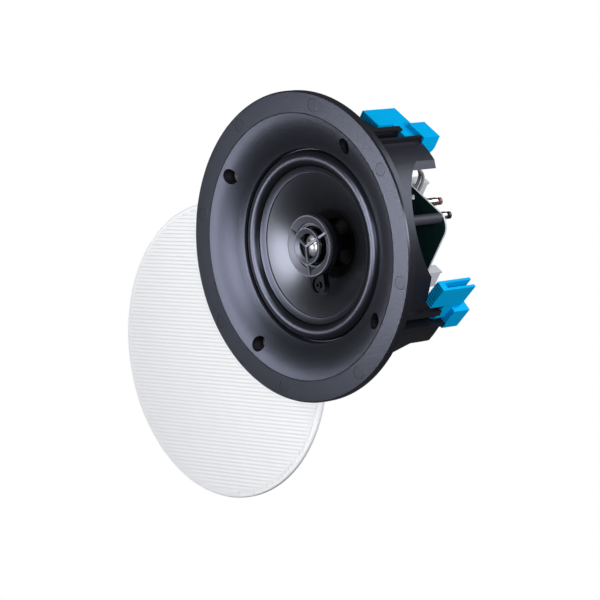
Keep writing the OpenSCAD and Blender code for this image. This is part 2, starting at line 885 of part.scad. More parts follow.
// Toothed clamp on its screw, in a frame with the origin on the screw and the arm along -Y
module clamp_shape() {
    foot_in = foot_out - foot_t;
    teeth = floor(foot_len / tooth_pitch);
    difference() {
        union() {
            translate([0, 0, neck_z])
                cylinder(r = hub_r, h = cap_z - neck_z + eps);
            translate([cap_in, -cap_half_w, cap_z])
                cube([cap_out - cap_in, 2 * cap_half_w, cap_h]);
            translate([foot_in + 1, -clamp_reach + foot_len - 1, neck_z])
                cube([foot_t - 1.5, clamp_reach - foot_len + 1, cap_z - neck_z + 8]);
            translate([foot_in, -clamp_reach, foot_z])
                cube([foot_t, foot_len, paddle_h]);
        }
        translate([0, 0, neck_z - eps])
            cylinder(r = screw_r + running, h = cap_h + tower_top);
        translate([foot_in + paddle_wall, -clamp_reach - eps, foot_z + foot_h])
            cube([foot_t - 2 * paddle_wall, foot_len - 2, paddle_h]);
        for (i = [0:teeth - 1])
            translate([foot_in - eps, -clamp_reach + tooth_pitch * (i + 0.5), foot_z])
                rotate([0, 90, 0])
                    rotate(45)
                        translate([-tooth_deep * 0.7, -tooth_deep * 0.7, 0])
                            cube([tooth_deep * 1.4, tooth_deep * 1.4, foot_t + 2 * eps]);
        difference() {
            translate([cap_in - eps, -cap_half_w - eps, cap_z + cap_h - 8])
                cube([8 + eps, 2 * cap_half_w + 2 * eps, 8 + eps]);
            translate([cap_in + 8, 0, cap_z + cap_h - 8])
                rotate([90, 0, 0])
                    cylinder(r = 8, h = 4 * cap_half_w, center = true);
        }
    }
}

module clamp(k) {
    color("#08a9dd")
        at_clamp(k)
            rotate(clamp_swing[k])
                clamp_shape();
}
module clamp_1() { clamp(0); }
module clamp_2() { clamp(1); }
module clamp_3() { clamp(2); }
module clamp_4() { clamp(3); }

// Long screw that turns in its plate and draws a clamp down
module clamp_screw(k) {
    color("#a6a8ac")
        at_clamp(k)
            difference() {
                union() {
                    translate([0, 0, head_seat_z - head_t - running])
                        cylinder(r = head_r, h = head_t);
                    translate([0, 0, head_seat_z - eps])
                        cylinder(r = screw_r, h = screw_end - head_seat_z + eps);
                }
                for (a = [0, 90])
                    rotate(a)
                        translate([-2.4, -0.5, head_seat_z - head_t - eps])
                            cube([4.8, 1, 1.6 + eps]);
            }
}
module clamp_screw_1() { clamp_screw(0); }
module clamp_screw_2() { clamp_screw(1); }
module clamp_screw_3() { clamp_screw(2); }
module clamp_screw_4() { clamp_screw(3); }

// Steel grille: a flat sheet with a folded rim
module grille() {
    color("#f4f5f6")
        translate([grille_x, grille_y, grille_z])
            rotate_extrude()
                polygon([[0, 0], [grille_r - grille_fold_r, 0], [grille_r - 0.3 * grille_fold_r, 0.3 * grille_fold_r],
                         [grille_r, grille_fold_r], [grille_r, grille_rim], [grille_r - grille_t, grille_rim],
                         [grille_r - grille_t, grille_fold_r], [grille_r - grille_fold_r, grille_t], [0, grille_t]]);
}

frame();
flange_magnets();
woofer_gasket();
woofer_basket();
woofer_terminal();
basket_screws();
surround();
cone();
voice_coil_former();
voice_coil_winding();
spider();
top_plate();
magnet();
yoke();
tweeter_post();
tweeter_cup();
tweeter_yoke();
tweeter_magnet();
tweeter_top_plate();
tweeter_dome();
tweeter_suspension();
tweeter_face();
tweeter_lug();
crossover_board();
board_screws();
inductor_bobbin();
inductor_winding();
core_inductor();
large_capacitor();
small_capacitor();
resistors();
terminal_posts();
red_plunger();
black_plunger();
woofer_leads();
tweeter_leads();
clamp_1();
clamp_2();
clamp_3();
clamp_4();
clamp_screw_1();
clamp_screw_2();
clamp_screw_3();
clamp_screw_4();
grille();
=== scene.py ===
"""Two-way ceiling speaker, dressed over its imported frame.

It has four swing-out clamps, a crossover board behind and a loose magnetic grille beside it.
"""

import logging
import math
from dataclasses import dataclass, field
from enum import Enum

import bmesh
import bpy
from mathutils import Matrix, Vector


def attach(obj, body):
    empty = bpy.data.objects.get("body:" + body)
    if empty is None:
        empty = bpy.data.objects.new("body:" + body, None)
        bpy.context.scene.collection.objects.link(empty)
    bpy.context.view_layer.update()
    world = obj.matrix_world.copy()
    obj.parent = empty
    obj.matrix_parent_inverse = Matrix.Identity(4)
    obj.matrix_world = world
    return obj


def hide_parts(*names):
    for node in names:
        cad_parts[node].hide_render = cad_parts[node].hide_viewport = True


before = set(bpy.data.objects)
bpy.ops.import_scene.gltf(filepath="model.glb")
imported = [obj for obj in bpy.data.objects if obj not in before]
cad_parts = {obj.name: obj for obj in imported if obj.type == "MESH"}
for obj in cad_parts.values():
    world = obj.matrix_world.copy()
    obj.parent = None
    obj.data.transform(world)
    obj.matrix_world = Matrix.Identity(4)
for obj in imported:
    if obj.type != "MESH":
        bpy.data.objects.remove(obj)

LOG = logging.getLogger("ceiling_speaker")
MM = 0.001
Point = tuple[float, float, float]
Colour = tuple[float, float, float, float]
Profile = list[tuple[float, float]]
Tree = bpy.types.NodeTree
Node = bpy.types.Node
Socket = bpy.types.NodeSocket
Piece = bpy.types.Object

# Distances under which points merge, in metres: in a mesh made here, in a CAD mesh, between tiles
MERGE_OWN = 1e-7
MERGE_CAD = 1e-6
MERGE_TILES = 2e-5
# Scale of the slow clouds that a colour drifts with, per metre, and the shares of the blend
CLOUD_SCALE = 60.0
CLOUD_SHARE = 0.6
CLOUD_BASE = 0.1
FINE_SHARE = 0.35
# Roughness in the hollows and on the crests of the texture, over the finish's own
ROUGHNESS_LOW = 0.92
ROUGHNESS_HIGH = 1.1
COAT_ROUGHNESS = 0.1
# Scale of a wave texture over the thread's own, six times too coarse so that threads show
WAVE_SHARE = 0.05
# Faces round a large ring
FINE_STEPS = 256


def linear(hex_colour: str) -> Colour:
    """Turns an sRGB hex colour to the linear values that a node takes.

    Args:
        hex_colour: Colour written as #rrggbb.

    Returns:
        Linear red, green, blue and an alpha of 1.
    """
    parts = [int(hex_colour[i : i + 2], 16) / 255 for i in (1, 3, 5)]
    red, green, blue = (c / 12.92 if c <= 0.04045 else ((c + 0.055) / 1.055) ** 2.4 for c in parts)
    return red, green, blue, 1.0


def add_node(
    tree: Tree, kind: str, settings: dict | None = None, inputs: dict | None = None
) -> Node:
    """Adds one node with its settings, values and links.

    Args:
        tree: Tree that the node goes in.
        kind: Blender's name for the node.
        settings: Attributes of the node.
        inputs: Values, or sockets to link from, by input name or number.

    Returns:
        The new node.
    """
    node = tree.nodes.new(kind)
    for name, value in (settings or {}).items():
        setattr(node, name, value)
    for key, value in (inputs or {}).items():
        if isinstance(value, Socket):
            tree.links.new(value, node.inputs[key])
        else:
            node.inputs[key].default_value = value
    return node


def maths(tree: Tree, operation: str, *values: Socket | float, clamp: bool = False) -> Socket:
    """Adds a maths node.

    Args:
        tree: Tree that the node goes in.
        operation: What the node works out.
        values: Its inputs, in order.
        clamp: Whether the result is kept within 0 and 1.

    Returns:
        The socket of the result.
    """
    settings = {"operation": operation, "use_clamp": clamp}
    return add_node(tree, "ShaderNodeMath", settings, dict(enumerate(values))).outputs[0]


def blended(tree: Tree, share: Socket, first: Socket | Colour, second: Socket | Colour) -> Socket:
    """Mixes two colours.

    Args:
        tree: Tree that the node goes in.
        share: Share of the second colour.
        first: Colour, or a socket of one.
        second: Colour, or a socket of one.

    Returns:
        The socket of the mixed colour.
    """
    inputs = {0: share, 6: first, 7: second}
    return add_node(tree, "ShaderNodeMix", {"data_type": "RGBA"}, inputs).outputs[2]


def length_of(tree: Tree, vector: Socket) -> Socket:
    """Works out the length of a vector, as a socket."""
    node = add_node(tree, "ShaderNodeVectorMath", {"operation": "LENGTH"}, {0: vector})
    return node.outputs["Value"]


def axis_distance(tree: Tree, place: Socket) -> Socket:
    """Works out the distance from the Z axis, as a socket."""
    inputs = {0: place, 1: (1.0, 1.0, 0.0)}
    flat = add_node(tree, "ShaderNodeVectorMath", {"operation": "MULTIPLY"}, inputs)
    return length_of(tree, flat.outputs[0])


class Grain(Enum):
    """How a surface was left by its making."""

    SPARKED = "sparked mould texture"
    POLISHED = "polished mould"
    TURNED = "turned on a lathe"
    WOVEN = "woven cloth"
    WOUND = "wound wire"
    PRESSED = "pressed fibre"


@dataclass(frozen=True)
class Finish:
    """A real surface: its colours, gloss and grain.

    Attributes:
        name: Name of the material.
        colour: Main colour, sRGB hex.
        mottle: Colour that it drifts to.
        roughness: Microscopic roughness.
        grain: How its texture was made.
        grain_mm: Size of the texture in millimetres, the real one where that shows.
        relief_mm: Height of the texture, in millimetres.
        metallic: 1 for bare metal.
        specular: Specular level, where 0.5 is an IOR of 1.5.
        coat: Weight of a clear coat.
        tint: Colour of its reflections, sRGB hex.
    """

    name: str
    colour: str
    mottle: str
    roughness: float
    grain: Grain = Grain.SPARKED
    grain_mm: float = 0.8
    relief_mm: float = 0.02
    metallic: float = 0.0
    specular: float = 0.5
    coat: float = 0.0
    tint: str = "#ffffff"

    def material(self) -> bpy.types.Material:
        """Builds the material's node tree.

        Returns:
            The material, made once and shared by name.
        """
        label = self.name + "_finish"
        made = bpy.data.materials.get(label)
        if made:
            return made
        made = bpy.data.materials.new(label)
        made.use_nodes = True
        tree = made.node_tree
        tree.nodes.clear()
        place = add_node(tree, "ShaderNodeTexCoord").outputs["Object"]
        colour, height = self.pattern(tree, place)
        low, high = self.roughness * ROUGHNESS_LOW, min(self.roughness * ROUGHNESS_HIGH, 1.0)
        rough = add_node(
            tree, "ShaderNodeMapRange", {}, {"Value": height, "To Min": low, "To Max": high}
        )
        bump = add_node(
            tree,
            "ShaderNodeBump",
            {},
            {"Strength": 1.0, "Distance": self.relief_mm * MM, "Height": height},
        )
        shader = add_node(
            tree,
            "ShaderNodeBsdfPrincipled",
            {},
            {
                "Base Color": colour,
                "Roughness": rough.outputs["Result"],
                "Metallic": self.metallic,
                "Specular IOR Level": self.specular,
                "Specular Tint": linear(self.tint),
                "Coat Weight": self.coat,
                "Coat Roughness": COAT_ROUGHNESS,
                "Normal": bump.outputs["Normal"],
            },
        )
        add_node(tree, "ShaderNodeOutputMaterial", {}, {"Surface": shader.outputs["BSDF"]})
        made.diffuse_color = linear(self.colour)
        return made

    def pattern(self, tree: Tree, place: Socket) -> tuple[Socket, Socket]:
        """Builds the colour and relief on Object coordinates.

        Args:
            tree: Tree that the nodes go in.
            place: Object coordinates, in metres.

        Returns:
            The colour socket and the height socket.
        """
        fine = self.relief(tree, place)
        inputs = {"Vector": place, "Scale": CLOUD_SCALE, "Detail": 2.0}
        cloudy = add_node(tree, "ShaderNodeTexNoise", {}, inputs).outputs[0]
        share = maths(tree, "MULTIPLY_ADD", cloudy, CLOUD_SHARE, CLOUD_BASE)
        blend = maths(tree, "MULTIPLY_ADD", fine, FINE_SHARE, share, clamp=True)
        return blended(tree, blend, linear(self.colour), linear(self.mottle)), fine

    def relief(self, tree: Tree, place: Socket) -> Socket:
        """Builds the height of the surface's texture.

        Args:
            tree: Tree that the nodes go in.
            place: Object coordinates, in metres.

        Returns:
            A height from 0 to 1.
        """
        scale = 1 / (self.grain_mm * MM)
        if self.grain is Grain.TURNED:
            upward = add_node(tree, "ShaderNodeSeparateXYZ", {}, {0: place}).outputs["Z"]
            inputs = {
                "W": maths(tree, "ADD", axis_distance(tree, place), upward),
                "Scale": scale,
                "Detail": 1.0,
            }
            lathe = {"noise_dimensions": "1D"}
            return add_node(tree, "ShaderNodeTexNoise", lathe, inputs).outputs[0]
        bands = {"Vector": place, "Scale": scale * WAVE_SHARE}
        if self.grain is Grain.WOUND:
            bands |= {"Distortion": 0.2, "Detail": 0.0}
            return self.wave(tree, "Z", bands)
        if self.grain is Grain.WOVEN:
            bands |= {"Distortion": 0.6, "Detail": 1.0, "Detail Scale": 2.0}
            return maths(tree, "MAXIMUM", self.wave(tree, "X", bands), self.wave(tree, "Y", bands))
        detail = {Grain.SPARKED: 3.0, Grain.PRESSED: 5.0, Grain.POLISHED: 0.5}[self.grain]
        inputs = {"Vector": place, "Scale": scale, "Detail": detail, "Roughness": 0.6}
        return add_node(tree, "ShaderNodeTexNoise", {}, inputs).outputs[0]

    def wave(self, tree: Tree, axis: str, inputs: dict) -> Socket:
        """Adds a wave texture, whose bands stand across one axis.

        Args:
            tree: Tree that the node goes in.
            axis: Axis that the bands follow one another along.
            inputs: Values of the texture.

        Returns:
            A height from 0 to 1.
        """
        node = add_node(tree, "ShaderNodeTexWave", {"bands_direction": axis}, inputs)
        return node.outputs["Fac"]


@dataclass(frozen=True)
class DomeFoil(Finish):
    """Metal foil of a dome, bright in the middle and near black outside the bright radius.

    Attributes:
        bright_mm: Radius of the bare foil.
        skirt_colour: Colour of the skirt.
    """

    bright_mm: float = 8.6
    skirt_colour: str = "#08080a"

    def pattern(self, tree: Tree, place: Socket) -> tuple[Socket, Socket]:
        """Makes the foil near black outside the bright radius.

        Args:
            tree: Tree that the nodes go in.
            place: Object coordinates, in metres.

        Returns:
            The colour socket and the height socket.
        """
        colour, height = super().pattern(tree, place)
        outside = maths(tree, "GREATER_THAN", axis_distance(tree, place), self.bright_mm * MM)
        return blended(tree, outside, colour, linear(self.skirt_colour)), height


@dataclass(frozen=True)
class BoardLaminate(Finish):
    """Glass-fibre board with a solder mask over faint tracks.

    Attributes:
        track_mm: Spacing of the tracks.
        edge_colour: Colour of the bare cut edge.
        edge_limit: Upward part of the normal below which a face is an edge.
    """

    track_mm: float = 9.0
    edge_colour: str = "#b9bcc0"
    edge_limit: float = 0.5

    def pattern(self, tree: Tree, place: Socket) -> tuple[Socket, Socket]:
        """Adds tracks to the mask and bares the laminate at the cut edge.

        Args:
            tree: Tree that the nodes go in.
            place: Object coordinates, in metres.

        Returns:
            The colour socket and the height socket.
        """
        colour, height = super().pattern(tree, place)
        layout = {
            "Vector": place,
            "Scale": 1 / (self.track_mm * MM),
            "Mortar Size": 0.09,
            "Mortar Smooth": 0.2,
            "Brick Width": 2.3,
            "Row Height": 1.0,
        }
        bricks = {"offset": 0.37, "squash": 1.0}
        tracks = add_node(tree, "ShaderNodeTexBrick", bricks, layout).outputs["Fac"]
        masked = blended(tree, tracks, colour, linear(self.mottle))
        normal = add_node(tree, "ShaderNodeNewGeometry").outputs["Normal"]
        upward = add_node(tree, "ShaderNodeSeparateXYZ", {}, {0: normal}).outputs["Z"]
        edge = maths(tree, "LESS_THAN", maths(tree, "ABSOLUTE", upward), self.edge_limit)
        return blended(tree, edge, masked, linear(self.edge_colour)), height


# Cool tints of the light that black plastics reflect: the usual one, and a fainter one for sheen
COOL_TINT = "#d8deff"
PALE_TINT = "#e6eaff"
# Black ABS out of a spark-eroded mould: near black, with an even grain that spreads the light to a
# grey sheen. Such moulds leave a grain of about 0.1 mm, which is drawn coarser so that it shows.
MOULDED_ABS = Finish(
    "moulded_abs",
    "#0c0d10",
    "#141519",
    0.36,
    Grain.SPARKED,
    1.3,
    0.11,
    specular=0.62,
    tint=COOL_TINT,
)
# Painted highlight: a lighter, glossier copy of the frame's ABS, laid as a thin ring on the
# flange's chamfer to draw the bright line along its edge
ABS_PAINTED_HIGHLIGHT = Finish(
    "abs_painted_highlight",
    "#191a1f",
    "#1e1f25",
    0.2,
    Grain.POLISHED,
    2.0,
    0.004,
    specular=1.0,
    tint=PALE_TINT,
)
# Painted shadow: a near-black ring laid over the dish's edge, which stands in for the shade in the
# fine groove round the dish
SHADOW_LINE = Finish(
    "unlit_line", "#020203", "#030304", 0.95, Grain.PRESSED, 1.0, 0.01, specular=0.02
)
# Plated discs pressed in under a thin skin of the same black
DISC_MAGNET = Finish(
    "disc_magnet",
    "#0c0d10",
    "#121317",
    0.38,
    Grain.POLISHED,
    1.5,
    0.008,
    specular=0.58,
    tint=COOL_TINT,
)
# Closed-cell foam: dull, with open pores
FOAM = Finish("closed_cell_foam", "#161618", "#232326", 0.9, Grain.PRESSED, 0.9, 0.1, specular=0.2)
# Glass-filled nylon: dark grey, with a dry streaky skin from the fibres
BASKET_NYLON = Finish(
    "glass_filled_nylon",
    "#2c2d33",
    "#3a3b42",
    0.48,
    Grain.PRESSED,
    1.4,
    0.03,
    specular=0.4,
    tint=COOL_TINT,
)
# Resin-bonded paper strip: brown and slightly glossy
PHENOLIC = Finish("phenolic_strip", "#5a4126", "#6f5433", 0.4, Grain.PRESSED, 0.8, 0.02)
# Zinc-plated screws: bright grey with a little passivation colour
ZINC_SCREW = Finish(
    "zinc_plated_screw", "#b3b5b4", "#a9a48e", 0.3, Grain.POLISHED, 0.8, 0.01, metallic=1.0
)
# Butyl rubber out of a polished mould: black with a long soft highlight
BUTYL = Finish(
    "butyl_rubber",
    "#08080a",
    "#0c0c0f",
    0.31,
    Grain.POLISHED,
    2.0,
    0.006,
    specular=0.75,
    tint=COOL_TINT,
)
# Coated paper pulp: charcoal with a satin sheen from mica in the coating
PULP = Finish(
    "coated_pulp",
    "#090a0c",
    "#0e0f12",
    0.31,
    Grain.PRESSED,
    1.1,
    0.01,
    specular=1.0,
    tint=PALE_TINT,
)
# Black aluminium foil of the coil's tube, which sheds heat; its near-black colour is also painted
# shade that keeps the neck's hollow dark
FOIL_PAINTED_SHADE = Finish(
    "black_foil_painted_shade", "#060608", "#09090b", 0.75, Grain.TURNED, 0.6, 0.01, specular=0.12
)
# Painted shade: a dull near-black ring on the cone's neck, where the tweeter and the neck's hollow
# keep the light out
NECK_PAINTED_SHADE = Finish(
    "neck_painted_shade", "#050507", "#08080a", 0.9, Grain.PRESSED, 1.0, 0.03, specular=0.08
)
# Enamelled copper wire, laid side by side and drawn coarse so that it shows
COPPER = Finish(
    "enamelled_copper", "#a8552a", "#7d3516", 0.3, Grain.WOUND, 0.7, 0.2, metallic=0.8, coat=0.5
)
# Resin-dipped cotton: tan weave, stiff and dry, drawn coarse so that it shows
COTTON = Finish("treated_cotton", "#a97c3c", "#c79a57", 0.8, Grain.WOVEN, 0.9, 0.12, specular=0.2)
# Black-coated steel of the woofer's plates; its near-black colour is also painted shade, so that
# nothing shines through the neck's hollow
BLACK_STEEL_PAINTED_SHADE = Finish(
    "black_steel_painted_shade", "#08080a", "#0c0c0e", 0.75, Grain.TURNED, 0.9, 0.01, specular=0.12
)
# Zinc-plated steel, turned on the face
ZINC_STEEL = Finish(
    "zinc_plated_steel", "#a7a9ac", "#969489", 0.34, Grain.TURNED, 0.9, 0.02, metallic=1.0
)
# Sintered strontium ferrite: charcoal ceramic with a ground face
FERRITE = Finish("ferrite", "#2f3033", "#3d3e41", 0.55, Grain.PRESSED, 1.2, 0.03)
# Smooth black moulding behind and beside the tweeter, and the ring that its dome hangs in
MOULDED_BLACK = Finish(
    "moulded_black",
    "#090a0d",
    "#0e0f12",
    0.45,
    Grain.SPARKED,
    0.9,
    0.012,
    specular=0.16,
    tint=COOL_TINT,
)
# Gloss black lug in front of the cone
GLOSS_BLACK = Finish(
    "gloss_black",
    "#040405",
    "#070709",
    0.25,
    Grain.POLISHED,
    1.2,
    0.01,
    specular=0.1,
    tint=COOL_TINT,
)
# Nickel over neodymium: mirror grey
NEODYMIUM = Finish(
    "nickel_on_neodymium", "#c6c6c4", "#b6b4ae", 0.18, Grain.POLISHED, 1.0, 0.005, metallic=1.0
)
# Drawn titanium foil: pale silver with a soft mirror
TITANIUM = DomeFoil(
    "drawn_titanium", "#d6d7da", "#c9cbcf", 0.36, Grain.POLISHED, 1.5, 0.004, metallic=1.0
)
# Satin ABS round the dome, with sharp moulded steps
SATIN_ABS = Finish(
    "satin_abs", "#26272e", "#2d2e35", 0.42, Grain.SPARKED, 0.6, 0.006, specular=1.0, tint=PALE_TINT
)
# Solder-masked glass-fibre board: dark green, with pale cut edges
BOARD = BoardLaminate("glass_fibre_board", "#12292a", "#1d3f3d", 0.4, Grain.POLISHED, 1.0, 0.03)
# White nylon spool
WHITE_NYLON = Finish("white_nylon", "#dcdcd6", "#e6e6e1", 0.5, Grain.SPARKED, 0.8, 0.01)
# Pale heat-shrunk film over a can, with a silky gloss
SLEEVE = Finish(
    "silver_sleeve", "#c9ccd1", "#dadde1", 0.25, Grain.POLISHED, 4.0, 0.03, metallic=0.35
)
# Cement-filled ceramic: chalky white with fine pits
CEMENT = Finish(
    "cement_ceramic", "#c9cad1", "#b4b5be", 0.75, Grain.PRESSED, 0.7, 0.06, specular=0.3
)
# Bright nickel plate on turned brass
NICKEL = Finish("nickel_plate", "#cfcfcd", "#bebcb6", 0.2, Grain.TURNED, 0.6, 0.01, metallic=1.0)
# Glossy caps of the posts: a dulled red, as bright metal is most of what shows there, and a black
RED_CAP = Finish("red_abs", "#6f4649", "#7d5256", 0.3, Grain.POLISHED, 1.2, 0.01)
BLACK_CAP = Finish("black_abs", "#1b1b1d", "#242427", 0.3, Grain.POLISHED, 1.2, 0.01)
# Soft PVC over fine copper strands
GREY_PVC = Finish("grey_pvc", "#6f7075", "#85868b", 0.45, Grain.POLISHED, 1.5, 0.03)
# Tough blue nylon of the clamps: saturated right through, with a satin skin
BLUE_NYLON = Finish(
    "blue_nylon",
    "#00a4e2",
    "#00aae8",
    0.45,
    Grain.SPARKED,
    0.8,
    0.012,
    specular=0.05,
    tint="#9fd6ff",
)
# White stove enamel on steel: smooth, slightly orange-peeled
ENAMEL = Finish("white_enamel", "#d8d9dc", "#dddee1", 0.5, Grain.POLISHED, 1.6, 0.01, specular=0.4)


def adopt(name: str, mesh: bpy.types.Mesh, finish: Finish) -> Piece:
    """Puts a finished mesh in the scene as an object at the origin.

    Args:
        name: Name of the piece.
        mesh: Mesh with its place in its vertices, in metres.
        finish: Finish of the whole mesh.

    Returns:
        The new object.
    """
    piece = bpy.data.objects.new(name, mesh)
    bpy.context.scene.collection.objects.link(piece)
    mesh.materials.clear()
    mesh.materials.append(finish.material())
    return piece


def turned(
    name: str, profile: Profile, finish: Finish, steps: int = 192, centre: Point = (0.0, 0.0, 0.0)
) -> Piece:
    """Turns a closed outline round the Z axis.

    Args:
        name: Name of the piece.
        profile: Closed outline as radius and height, in millimetres.
        finish: Finish of the piece.
        steps: Faces round the circle.
        centre: Place of the axis, in millimetres.

    Returns:
        The new object, with smooth faces and sharp corners kept.
    """
    rings = len(profile)
    corners = []
    for i in range(steps):
        a = 2 * math.pi * i / steps
        across, along = math.cos(a), math.sin(a)
        corners += [
            ((centre[0] + r * across) * MM, (centre[1] + r * along) * MM, (centre[2] + z) * MM)
            for r, z in profile
        ]
    faces = []
    for i in range(steps):
        here, there = i * rings, ((i + 1) % steps) * rings
        faces += [
            (here + j, there + j, there + (j + 1) % rings, here + (j + 1) % rings)
            for j in range(rings)
        ]
    mesh = bpy.data.meshes.new(name)
    mesh.from_pydata(corners, [], faces)
    tidy(mesh)
    return adopt(name, mesh, finish)


def tidy(mesh: bpy.types.Mesh, merge: float = MERGE_OWN, smooth: float = 35.0) -> None:
    """Merges doubles, turns faces outwards and shades by angle.

    Args:
        mesh: Mesh to tidy in place.
        merge: Distance under which points merge, in metres.
        smooth: Angle past which an edge stays sharp, in degrees.
    """
    bm = bmesh.new()
    bm.from_mesh(mesh)
    bmesh.ops.remove_doubles(bm, verts=bm.verts, dist=merge)
    bmesh.ops.dissolve_degenerate(bm, dist=merge, edges=bm.edges)
    bmesh.ops.recalc_face_normals(bm, faces=bm.faces)
    limit = math.radians(smooth)
    for face in bm.faces:
        face.smooth = True
    for edge in bm.edges:
        edge.smooth = len(edge.link_faces) == 2 and edge.calc_face_angle(0.0) < limit
    bm.to_mesh(mesh)
    bm.free()


def settle(piece: Piece, body: str, slot: str, *nodes: str) -> Piece:
    """Fixes a finished piece to its body and hides the CAD nodes that it replaces.

    Args:
        piece: Finished piece.
        body: Body that it rides on.
        slot: Not used.
        nodes: CAD nodes that it replaces.

    Returns:
        The same piece.
    """
    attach(piece, body)
    if nodes:
        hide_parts(*nodes)
    LOG.info("%s rides on %s", piece.name, body)
    return piece


def baked(piece: Piece) -> Piece:
    """Turns an object's modifiers into a plain mesh.

    Args:
        piece: Object with live modifiers.

    Returns:
        The same object with the result as its mesh and no modifier.
    """
    bpy.context.view_layer.update()
    graph = bpy.context.evaluated_depsgraph_get()
    mesh = bpy.data.meshes.new_from_object(piece.evaluated_get(graph))
    piece.modifiers.clear()
    piece.data = mesh
    return piece


def softened(node: str, finish: Finish, width: float, turn: float = 30.0) -> Piece:
    """Copies a CAD node and rounds its edges, as a mould would.

    Args:
        node: Name of the CAD node.
        finish: Finish of the piece.
        width: Width of the rounding, in millimetres.
        turn: Least angle of an edge that is rounded, in degrees.

    Returns:
        The rounded copy.
    """
    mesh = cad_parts[node].data.copy()
    bm = bmesh.new()
    bm.from_mesh(mesh)
    bmesh.ops.remove_doubles(bm, verts=bm.verts, dist=MERGE_CAD)
    flat = math.radians(1.0)
    bmesh.ops.dissolve_limit(bm, angle_limit=flat, verts=bm.verts, edges=bm.edges)
    bm.to_mesh(mesh)
    bm.free()
    piece = adopt(node + "_moulded", mesh, finish)
    rounding = piece.modifiers.new("rounding", "BEVEL")
    rounding.width = width * MM
    rounding.segments = 2
    rounding.limit_method = "ANGLE"
    rounding.angle_limit = math.radians(turn)
    rounding.use_clamp_overlap = True
    baked(piece)
    tidy(piece.data, smooth=40.0)
    return evened(piece)


def evened(piece: Piece) -> Piece:
    """Keeps flat faces flat in shading, next to the curves that they run into.

    Args:
        piece: Object whose mesh is already marked smooth and sharp.

    Returns:
        The same object.
    """
    even = piece.modifiers.new("even_shading", "WEIGHTED_NORMAL")
    even.keep_sharp = True
    return baked(piece)


def swept(node: str, finish: Finish, turn: float = 20.0) -> Piece:
    """Copies a CAD node and shades its stepped curves as one sweep.

    Args:
        node: Name of the CAD node.
        finish: Finish of the piece.
        turn: Angle past which an edge stays sharp, in degrees.

    Returns:
        The copy.
    """
    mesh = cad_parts[node].data.copy()
    tidy(mesh, MERGE_CAD, turn)
    return evened(adopt(node + "_swept", mesh, finish))


def dress(finish: Finish, *nodes: str) -> None:
    """Gives CAD nodes a finish.

    Args:
        finish: Finish to give.
        nodes: Names of the nodes.
    """
    for node in nodes:
        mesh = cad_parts[node].data
        mesh.materials.clear()
        mesh.materials.append(finish.material())
        LOG.info("%s is %s", node, finish.name)


@dataclass
class MouldedFrame:
    """Flange, dish, skirt and towers, with the discs that hold the grille.

    Attributes:
        flange: Radius of the flange, in millimetres.
        mouth: Radius of the dish's edge.
        front: Height of the flange's face.
        chamfer: Width of the painted highlight on the chamfer round the flange.
        line: Width of the painted shadow line round the dish.
        disc_edge: Width of the step round each disc.
        chamfer_back: How far the chamfer's back corner tucks in and up.
        chamfer_foot: How far its hidden foot reaches in and up.
        chamfer_clear: How far its front edge stays behind the flange's face.
        line_slope: How far the line stays behind the face, at its inner and outer edge.
        line_depth: Depth of the line's hidden back.
    """

    flange: float = 117.46
    mouth: float = 101.2
    front: float = -6.0
    chamfer: float = 0.9
    line: float = 0.6
    disc_edge: float = 0.25
    chamfer_back: tuple[float, float] = (0.3, 0.2)
    chamfer_foot: tuple[float, float] = (0.1, 0.5)
    chamfer_clear: float = 0.01
    line_slope: tuple[float, float] = (0.02, 0.005)
    line_depth: float = 0.4

    def chamfer_profile(self) -> Profile:
        """Outline of the painted highlight on the chamfer, which lies on the flange's rounding."""
        inner = self.flange - self.chamfer
        top = self.front + self.chamfer
        return [
            (inner, self.front + self.chamfer_clear),
            (self.flange, top),
            (self.flange - self.chamfer_back[0], top + self.chamfer_back[1]),
            (inner - self.chamfer_foot[0], self.front + self.chamfer_foot[1]),
        ]

    def line_profile(self) -> Profile:
        """Outline of the painted shadow line, which fills the first shallow step of the dish."""
        inner = self.mouth - self.line
        back = self.front + self.line_depth
        return [
            (inner, self.front + self.line_slope[0]),
            (self.mouth, self.front + self.line_slope[1]),
            (self.mouth, back),
            (inner, back),
        ]

    def build(self) -> None:
        """Shades the frame as one sweep, adds a painted highlight on its chamfer and a painted
        shadow line round the dish, and rounds the discs' edges.
        """
        settle(swept("frame", MOULDED_ABS), "root", "moulded_abs", "frame")
        # Painted highlight: lighter, glossier ring on the flange's chamfer
        edge = turned("flange_edge", self.chamfer_profile(), ABS_PAINTED_HIGHLIGHT, FINE_STEPS)
        settle(edge, "root", "moulded_abs")
        # Painted shadow: near-black ring over the fine groove round the dish
        line = turned("dish_line", self.line_profile(), SHADOW_LINE, FINE_STEPS)
        settle(line, "root", "moulded_abs")
        discs = softened("flange_magnets", DISC_MAGNET, self.disc_edge)
        settle(discs, "root", "disc_magnet", "flange_magnets")


